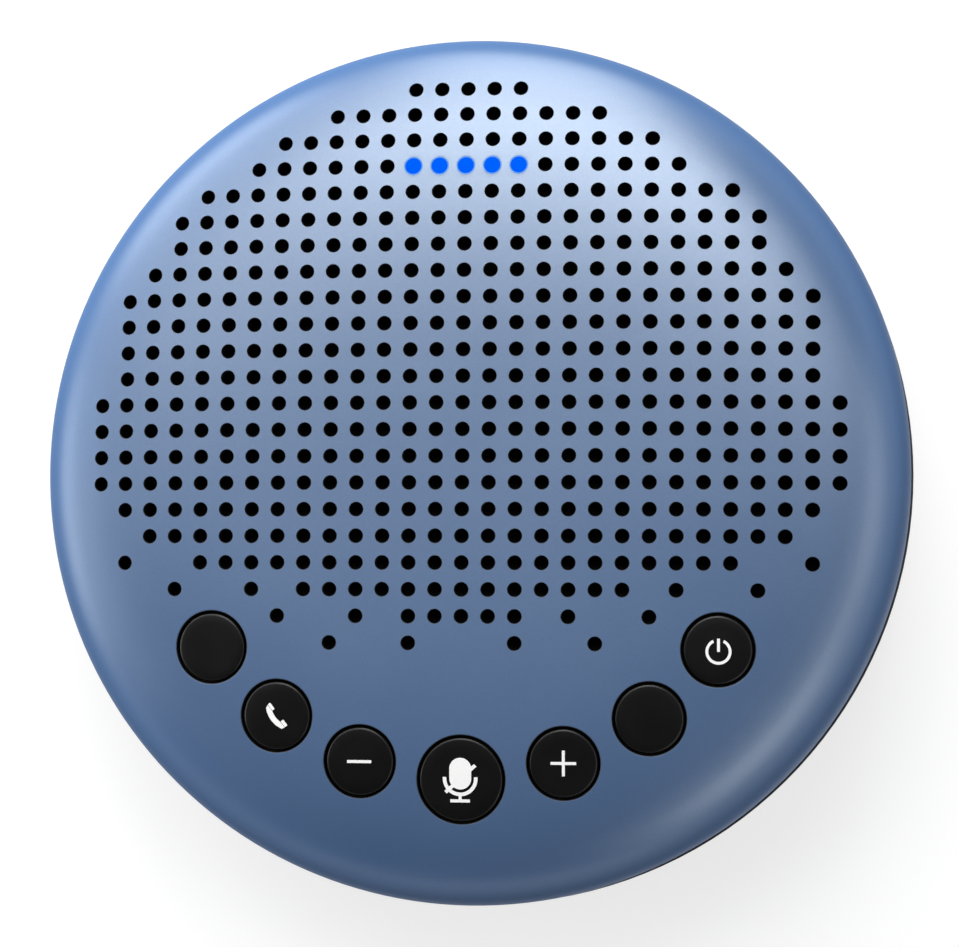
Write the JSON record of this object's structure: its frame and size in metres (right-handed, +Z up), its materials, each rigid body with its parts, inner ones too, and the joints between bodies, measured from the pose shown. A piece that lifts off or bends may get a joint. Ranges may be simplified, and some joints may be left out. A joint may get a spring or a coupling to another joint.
{
  "type": "conference speakerphone",
  "caption": "Round table-top conference speakerphone: perforated dome over a speaker, an arc of press keys, status lights, rear socket and rubber foot.",
  "frame": {"origin": "centre of the foot ring's underside, on the table", "axes": "+Z up, -Y to the front where the keys are, +Y to the rear where the socket is, +X to the user's right"},
  "size_m": [0.1228, 0.1228, 0.036],
  "materials": {
    "satin_blue_lacquer": "satin metallic lacquer on moulded ABS",
    "black_abs": "fine moulded texture",
    "key_black": "satin, soft-touch",
    "black_cloth": "fine acoustic mesh",
    "black_rubber": "matte",
    "grey_silicone": "matte",
    "green_board": "solder-masked glass laminate",
    "clear_acrylic": "clear moulded acrylic",
    "pale_plastic": "matte",
    "white_resin": "translucent resin over a blue die",
    "stamped_steel": "zinc plated",
    "ferrite": "ground ferrite",
    "coated_paper": "coated pulp",
    "copper_winding": "enamelled wire",
    "amber_cloth": "resin-stiffened cloth",
    "nickel_plate": "nickel plated",
    "cell_foil": "laminated foil pouch"
  },
  "bodies": {
    "casing": {"top_shell": "satin_blue_lacquer", "grille_cloth": "black_cloth", "bottom_shell": "black_abs", "foot_ring": "black_rubber", "case_screw_1": "nickel_plate", "case_screw_2": "nickel_plate", "case_screw_3": "nickel_plate", "case_screw_4": "nickel_plate", "inner_frame": "black_abs", "function_switch": "stamped_steel", "call_switch": "stamped_steel", "volume_down_switch": "stamped_steel", "mute_switch": "stamped_steel", "volume_up_switch": "stamped_steel", "wireless_switch": "stamped_steel", "power_switch": "stamped_steel", "key_seal": "grey_silicone", "key_board": "green_board", "key_flat_cable": "pale_plastic", "light_guide": "clear_acrylic", "led_board": "green_board", "led_1": "white_resin", "led_2": "white_resin", "led_3": "white_resin", "led_4": "white_resin", "led_5": "white_resin", "microphone_1": "nickel_plate", "microphone_boot_1": "black_rubber", "microphone_2": "nickel_plate", "microphone_boot_2": "black_rubber", "microphone_3": "nickel_plate", "microphone_boot_3": "black_rubber", "speaker_basket": "stamped_steel", "speaker_gasket": "black_cloth", "speaker_surround": "black_rubber", "speaker_spider": "amber_cloth", "speaker_top_plate": "stamped_steel", "speaker_magnet": "ferrite", "speaker_yoke": "stamped_steel", "speaker_chamber": "black_abs", "main_board": "green_board", "usb_socket": "nickel_plate", "battery": "cell_foil"},
    "function_button": {"function_key": "key_black", "function_plunger": "pale_plastic"},
    "call_button": {"call_key": "key_black", "call_plunger": "pale_plastic"},
    "volume_down_button": {"volume_down_key": "key_black", "volume_down_plunger": "pale_plastic"},
    "mute_button": {"mute_key": "key_black", "mute_plunger": "pale_plastic"},
    "volume_up_button": {"volume_up_key": "key_black", "volume_up_plunger": "pale_plastic"},
    "wireless_button": {"wireless_key": "key_black", "wireless_plunger": "pale_plastic"},
    "power_button": {"power_key": "key_black", "power_plunger": "pale_plastic"},
    "cone_assembly": {"speaker_cone": "coated_paper", "speaker_dust_cap": "coated_paper", "speaker_voice_coil": "copper_winding"}
  },
  "joints": [
    {"name": "function_press", "type": "slide", "parent": "casing", "child": "function_button", "axis": [0, 0, -1], "range_m": [0, 0.0003], "stiffness_N_per_m": 4000, "springref_m": -0.0001},
    {"name": "call_press", "type": "slide", "parent": "casing", "child": "call_button", "axis": [0, 0, -1], "range_m": [0, 0.0003], "stiffness_N_per_m": 4000, "springref_m": -0.0001},
    {"name": "volume_down_press", "type": "slide", "parent": "casing", "child": "volume_down_button", "axis": [0, 0, -1], "range_m": [0, 0.0003], "stiffness_N_per_m": 4000, "springref_m": -0.0001},
    {"name": "mute_press", "type": "slide", "parent": "casing", "child": "mute_button", "axis": [0, 0, -1], "range_m": [0, 0.0003], "stiffness_N_per_m": 4000, "springref_m": -0.0001},
    {"name": "volume_up_press", "type": "slide", "parent": "casing", "child": "volume_up_button", "axis": [0, 0, -1], "range_m": [0, 0.0003], "stiffness_N_per_m": 4000, "springref_m": -0.0001},
    {"name": "wireless_press", "type": "slide", "parent": "casing", "child": "wireless_button", "axis": [0, 0, -1], "range_m": [0, 0.0003], "stiffness_N_per_m": 4000, "springref_m": -0.0001},
    {"name": "power_press", "type": "slide", "parent": "casing", "child": "power_button", "axis": [0, 0, -1], "range_m": [0, 0.0003], "stiffness_N_per_m": 4000, "springref_m": -0.0001},
    {"name": "cone_travel", "type": "slide", "parent": "casing", "child": "cone_assembly", "axis": [0, 0, 1], "range_m": [-0.0012, 0.0012], "stiffness_N_per_m": 1500, "deforming": ["speaker_surround", "speaker_spider"]}
  ]
}
